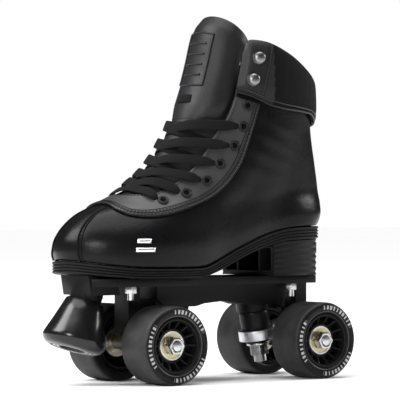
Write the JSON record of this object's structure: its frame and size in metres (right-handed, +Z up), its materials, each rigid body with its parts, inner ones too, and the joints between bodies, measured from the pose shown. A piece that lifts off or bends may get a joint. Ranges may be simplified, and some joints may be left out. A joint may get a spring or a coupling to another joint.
{
  "type": "quad roller skate",
  "caption": "Black high-top quad roller skate: laced boot with padded cuff and tongue, nylon plate, sprung steering trucks, wide wheels and a toe stop.",
  "frame": {"origin": "centre of the bounding box on the floor plane that the wheels stand on", "axes": "+Z up, -Y towards the toe, +X to the outer side of this left skate, parallel to the wheel axles"},
  "size_m": [0.104, 0.2486, 0.276],
  "materials": {
    "black_leather": "satin synthetic leather",
    "padded_textile": "padded cloth and soft leather",
    "lining_board": "matt lining",
    "black_nylon": "satin moulded",
    "black_urethane": "satin urethane",
    "stop_rubber": "polished rubber",
    "black_metal": "gloss black eyelets",
    "cast_alloy": "satin cast",
    "bright_steel": "zinc plated",
    "bearing_steel": "straw-tinted shields"
  },
  "bodies": {
    "boot_and_plate": {"plate": "black_nylon", "outsole": "black_nylon", "heel_block": "black_nylon", "insole": "lining_board", "upper": "black_leather", "eyestay": "black_leather", "cuff": "padded_textile", "tongue": "padded_textile", "lace_loop": "padded_textile", "lace": "padded_textile", "eyelets_outer": "black_metal", "eyelets_inner": "black_metal", "lower_hook_outer": "cast_alloy", "lower_hook_inner": "cast_alloy", "upper_hook_outer": "cast_alloy", "upper_hook_inner": "cast_alloy", "toe_stop": "stop_rubber", "toe_stop_bolt": "bright_steel", "mounting_bolt_front_outer": "bright_steel", "mounting_bolt_front_inner": "bright_steel", "mounting_bolt_rear_outer": "bright_steel", "mounting_bolt_rear_inner": "bright_steel", "button_spring": "bright_steel", "latch_screw": "bright_steel", "front_truck_kingpin": "bright_steel", "front_truck_upper_cushion": "stop_rubber", "front_truck_lower_cushion": "stop_rubber", "front_truck_cushion_washer": "bright_steel", "front_truck_kingpin_nut": "bright_steel", "front_truck_pivot_cup": "stop_rubber", "rear_truck_kingpin": "bright_steel", "rear_truck_upper_cushion": "stop_rubber", "rear_truck_lower_cushion": "stop_rubber", "rear_truck_cushion_washer": "bright_steel", "rear_truck_kingpin_nut": "bright_steel", "rear_truck_pivot_cup": "stop_rubber"},
    "front_truck": {"front_truck_hanger": "cast_alloy", "front_truck_axle": "bright_steel", "front_outer_axle_nut": "bright_steel", "front_inner_axle_nut": "bright_steel"},
    "front_outer_wheel": {"front_outer_tyre": "black_urethane", "front_outer_hub": "black_nylon", "front_outer_bearings": "bearing_steel"},
    "front_inner_wheel": {"front_inner_tyre": "black_urethane", "front_inner_hub": "black_nylon", "front_inner_bearings": "bearing_steel"},
    "rear_truck": {"rear_truck_hanger": "cast_alloy", "rear_truck_axle": "bright_steel", "rear_outer_axle_nut": "bright_steel", "rear_inner_axle_nut": "bright_steel"},
    "rear_outer_wheel": {"rear_outer_tyre": "black_urethane", "rear_outer_hub": "black_nylon", "rear_outer_bearings": "bearing_steel"},
    "rear_inner_wheel": {"rear_inner_tyre": "black_urethane", "rear_inner_hub": "black_nylon", "rear_inner_bearings": "bearing_steel"},
    "button": {"size_button": "black_nylon"}
  },
  "joints": [
    {"name": "front_truck_steer", "type": "hinge", "parent": "boot_and_plate", "child": "front_truck", "pos_m": [0, -0.01732, 0.033], "axis": [0, -0.9578, 0.2874], "range_deg": [-7, 7], "stiffness_Nm_per_rad": 15, "deforming": ["front_truck_upper_cushion", "front_truck_lower_cushion"]},
    {"name": "front_outer_wheel_spin", "type": "hinge", "parent": "front_truck", "child": "front_outer_wheel", "pos_m": [0.035, -0.04472, 0.029], "axis": [1, 0, 0], "continuous": true},
    {"name": "front_inner_wheel_spin", "type": "hinge", "parent": "front_truck", "child": "front_inner_wheel", "pos_m": [-0.035, -0.04472, 0.029], "axis": [1, 0, 0], "continuous": true},
    {"name": "rear_truck_steer", "type": "hinge", "parent": "boot_and_plate", "child": "rear_truck", "pos_m": [0, 0.06788, 0.033], "axis": [0, 0.9578, 0.2874], "range_deg": [-7, 7], "stiffness_Nm_per_rad": 15, "deforming": ["rear_truck_upper_cushion", "rear_truck_lower_cushion"]},
    {"name": "rear_outer_wheel_spin", "type": "hinge", "parent": "rear_truck", "child": "rear_outer_wheel", "pos_m": [0.035, 0.09528, 0.029], "axis": [1, 0, 0], "continuous": true},
    {"name": "rear_inner_wheel_spin", "type": "hinge", "parent": "rear_truck", "child": "rear_inner_wheel", "pos_m": [-0.035, 0.09528, 0.029], "axis": [1, 0, 0], "continuous": true},
    {"name": "button_press", "type": "slide", "parent": "boot_and_plate", "child": "button", "axis": [0, -1, 0], "range_m": [0, 0.003], "stiffness_N_per_m": 800, "springref_m": -0.002, "deforming": ["button_spring"]}
  ]
}
